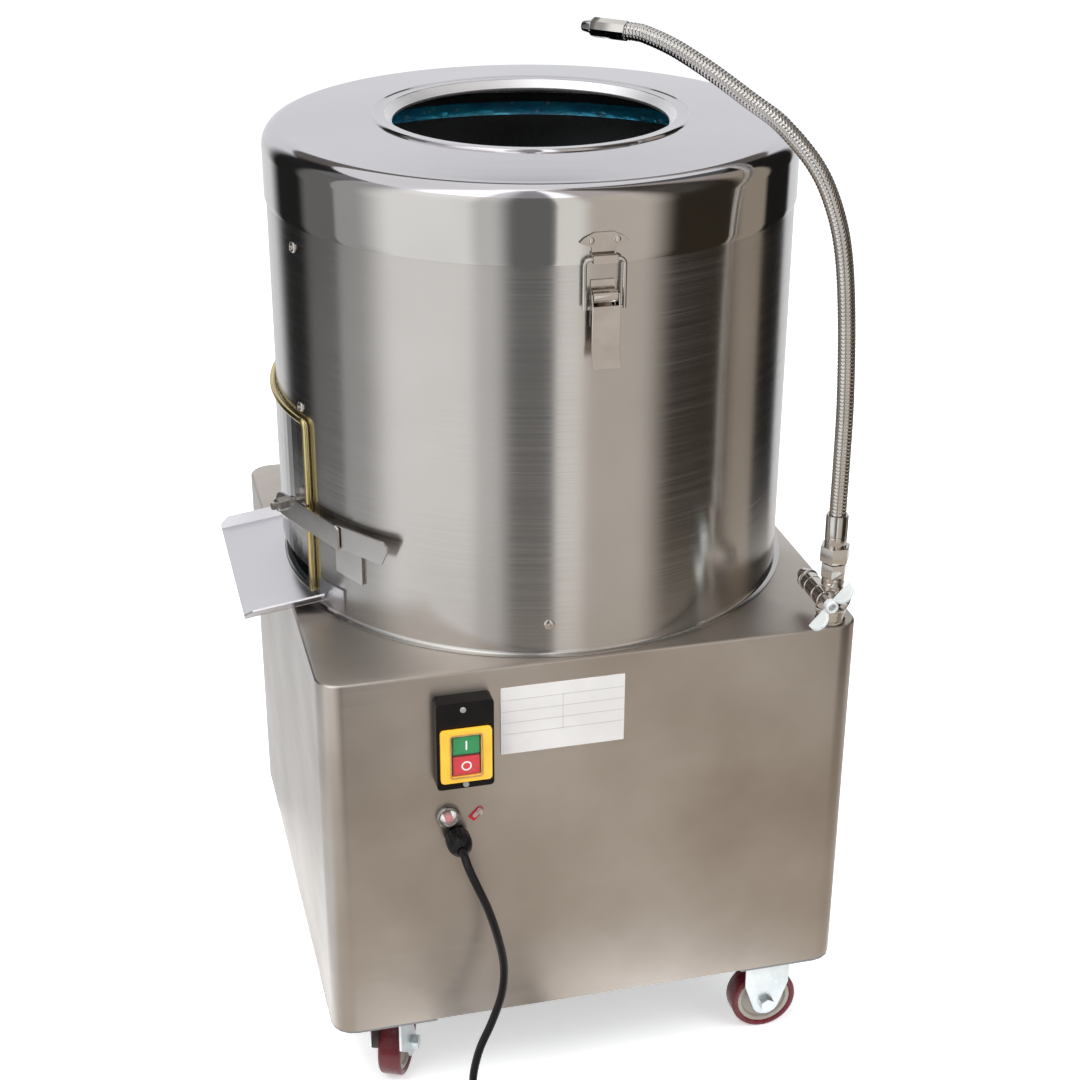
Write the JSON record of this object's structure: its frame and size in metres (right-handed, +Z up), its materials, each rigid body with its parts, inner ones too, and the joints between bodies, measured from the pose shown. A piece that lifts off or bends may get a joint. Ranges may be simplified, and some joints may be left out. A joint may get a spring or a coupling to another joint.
{
  "type": "potato peeling machine",
  "caption": "Wheeled stainless potato peeling machine with abrasive drum, lift-off lid, side discharge door and tray, push-button switch and water spray arm.",
  "frame": {"origin": "on the floor under the middle of the machine's outline, the mains lead left out", "axes": "+Z up, -Y toward the front panel with its switch, -X toward the discharge door and tray"},
  "size_m": [0.611, 0.8012, 1.1054],
  "materials": {
    "brushed_steel": "fine brushed stainless sheet",
    "polished_steel": "bright spun stainless",
    "nickel": "bright nickel plate",
    "zinc": "bluish zinc plate",
    "yellow_zinc": "yellow passivated zinc",
    "frame_paint": "satin dark paint",
    "cast_iron": "plain casting",
    "ground_steel": "ground",
    "abrasive": "coarse bonded grit",
    "rubber": "black matt",
    "black_plastic": "black satin",
    "yellow_plastic": "yellow",
    "green_plastic": "green",
    "red_plastic": "red",
    "white_plastic": "translucent white",
    "reset_dome": "clear boot over a red button",
    "wine_tread": "wine-red moulded tread on a beige rim",
    "plate_face": "satin bare plate",
    "motor_paint": "blue-grey enamel",
    "pipe_grey": "grey"
  },
  "bodies": {
    "cabinet": {"cabinet_shell": "brushed_steel", "base_frame": "frame_paint", "drum_shell": "brushed_steel", "drum_floor": "brushed_steel", "abrasive_liner": "abrasive", "bearing_housing": "cast_iron", "upper_bearing": "ground_steel", "lower_bearing": "ground_steel", "shaft_seal": "rubber", "drive_belt": "rubber", "motor": "motor_paint", "drain_pipe": "pipe_grey", "front_latch_base": "nickel", "rear_latch_base": "nickel", "door_hinge": "brushed_steel", "door_keeper": "brushed_steel", "door_frame_rod": "yellow_zinc", "discharge_tray": "brushed_steel", "switch_box": "black_plastic", "switch_frame": "yellow_plastic", "reset_bezel": "nickel", "earth_terminal": "red_plastic", "cable_gland": "black_plastic", "name_plate": "plate_face", "inlet_valve": "nickel", "caster_fork_fr": "zinc", "caster_fork_br": "zinc", "caster_plate_fl": "zinc", "caster_plate_bl": "zinc", "mains_cord": "rubber", "cord_coil": "rubber", "cord_tie": "black_plastic", "mains_plug": "black_plastic"},
    "turntable": {"turntable_disc": "abrasive", "main_shaft": "ground_steel", "driven_pulley": "cast_iron"},
    "motor_drive": {"motor_pulley": "ground_steel"},
    "lid": {"lid_cover": "polished_steel", "lid_gasket": "rubber", "front_latch_keeper": "nickel", "rear_latch_keeper": "nickel"},
    "front_bail": {"front_latch_bail": "nickel"},
    "rear_bail": {"rear_latch_bail": "nickel"},
    "front_latch": {"front_latch_lever": "nickel"},
    "rear_latch": {"rear_latch_lever": "nickel"},
    "door": {"discharge_door": "brushed_steel"},
    "lever": {"door_lever": "brushed_steel"},
    "start": {"start_button": "green_plastic"},
    "stop": {"stop_button": "red_plastic"},
    "reset": {"reset_button": "reset_dome"},
    "handle": {"valve_handle": "white_plastic"},
    "spray_arm": {"hose_union": "nickel", "gooseneck_hose": "nickel", "spray_nozzle": "nickel"},
    "swivel_fl": {"caster_fork_fl": "zinc"},
    "swivel_bl": {"caster_fork_bl": "zinc"},
    "wheel_fl": {"caster_wheel_fl": "wine_tread"},
    "wheel_bl": {"caster_wheel_bl": "wine_tread"},
    "wheel_fr": {"caster_wheel_fr": "wine_tread"},
    "wheel_br": {"caster_wheel_br": "wine_tread"}
  },
  "joints": [
    {"name": "turntable_spin", "type": "hinge", "parent": "cabinet", "child": "turntable", "pos_m": [0.025, 0, 0.3875], "axis": [0, 0, 1], "continuous": true},
    {"name": "motor_spin", "type": "hinge", "parent": "cabinet", "child": "motor_drive", "pos_m": [0.175, 0.14, 0.3875], "axis": [0, 0, 1], "continuous": true},
    {"name": "lid_lift", "type": "slide", "parent": "cabinet", "child": "lid", "axis": [0, 0, 1], "range_m": [0, 0.025]},
    {"name": "front_bail_swing", "type": "hinge", "parent": "lid", "child": "front_bail", "pos_m": [0.025, -0.2774, 0.9333], "axis": [-1, 0, 0], "range_deg": [0, 20]},
    {"name": "rear_bail_swing", "type": "hinge", "parent": "lid", "child": "rear_bail", "pos_m": [0.025, 0.2774, 0.9333], "axis": [1, 0, 0], "range_deg": [0, 20]},
    {"name": "front_latch_turn", "type": "hinge", "parent": "cabinet", "child": "front_latch", "pos_m": [0.025, -0.2775, 0.898], "axis": [-1, 0, 0], "range_deg": [0, 150]},
    {"name": "rear_latch_turn", "type": "hinge", "parent": "cabinet", "child": "rear_latch", "pos_m": [0.025, 0.2775, 0.898], "axis": [1, 0, 0], "range_deg": [0, 150]},
    {"name": "door_swing", "type": "hinge", "parent": "cabinet", "child": "door", "pos_m": [-0.23315, 0.09652, 0.64225], "axis": [0, 0, -1], "range_deg": [0, 110]},
    {"name": "door_lever_turn", "type": "hinge", "parent": "door", "child": "lever", "pos_m": [-0.2533, -0.05915, 0.625], "axis": [-0.9205, -0.3907, 0], "range_deg": [0, 30]},
    {"name": "start_press", "type": "slide", "parent": "cabinet", "child": "start", "axis": [0, 1, 0], "range_m": [0, 0.004], "stiffness_N_per_m": 600},
    {"name": "stop_press", "type": "slide", "parent": "cabinet", "child": "stop", "axis": [0, 1, 0], "range_m": [0, 0.004], "stiffness_N_per_m": 600},
    {"name": "reset_press", "type": "slide", "parent": "cabinet", "child": "reset", "axis": [0, 1, 0], "range_m": [0, 0.003], "stiffness_N_per_m": 600},
    {"name": "valve_turn", "type": "hinge", "parent": "cabinet", "child": "handle", "pos_m": [0.2665, -0.282, 0.555], "axis": [0, 1, 0], "range_deg": [0, 90]},
    {"name": "spray_arm_turn", "type": "hinge", "parent": "cabinet", "child": "spray_arm", "pos_m": [0.277, -0.262, 0.5773], "axis": [0, 0, 1], "range_deg": [-110, 60]},
    {"name": "swivel_fl_turn", "type": "hinge", "parent": "cabinet", "child": "swivel_fl", "pos_m": [-0.188, -0.235, 0.1], "axis": [0, 0, 1], "continuous": true},
    {"name": "wheel_fl_roll", "type": "hinge", "parent": "swivel_fl", "child": "wheel_fl", "pos_m": [-0.1787, -0.21506, 0.0375], "axis": [-0.9063, 0.4226, 0], "continuous": true},
    {"name": "swivel_bl_turn", "type": "hinge", "parent": "cabinet", "child": "swivel_bl", "pos_m": [-0.188, 0.235, 0.1], "axis": [0, 0, 1], "continuous": true},
    {"name": "wheel_bl_roll", "type": "hinge", "parent": "swivel_bl", "child": "wheel_bl", "pos_m": [-0.19182, 0.25667, 0.0375], "axis": [-0.9848, -0.1736, 0], "continuous": true},
    {"name": "wheel_fr_roll", "type": "hinge", "parent": "cabinet", "child": "wheel_fr", "pos_m": [0.238, -0.235, 0.0375], "axis": [0, 1, 0], "continuous": true},
    {"name": "wheel_br_roll", "type": "hinge", "parent": "cabinet", "child": "wheel_br", "pos_m": [0.238, 0.235, 0.0375], "axis": [0, 1, 0], "continuous": true}
  ],
  "couplings": [
    {"joint": "motor_spin", "follows": "turntable_spin", "ratio": 4.2203},
    {"joint": "front_bail_swing", "follows": "front_latch_turn", "ratio": 0.1},
    {"joint": "rear_bail_swing", "follows": "rear_latch_turn", "ratio": 0.1}
  ]
}
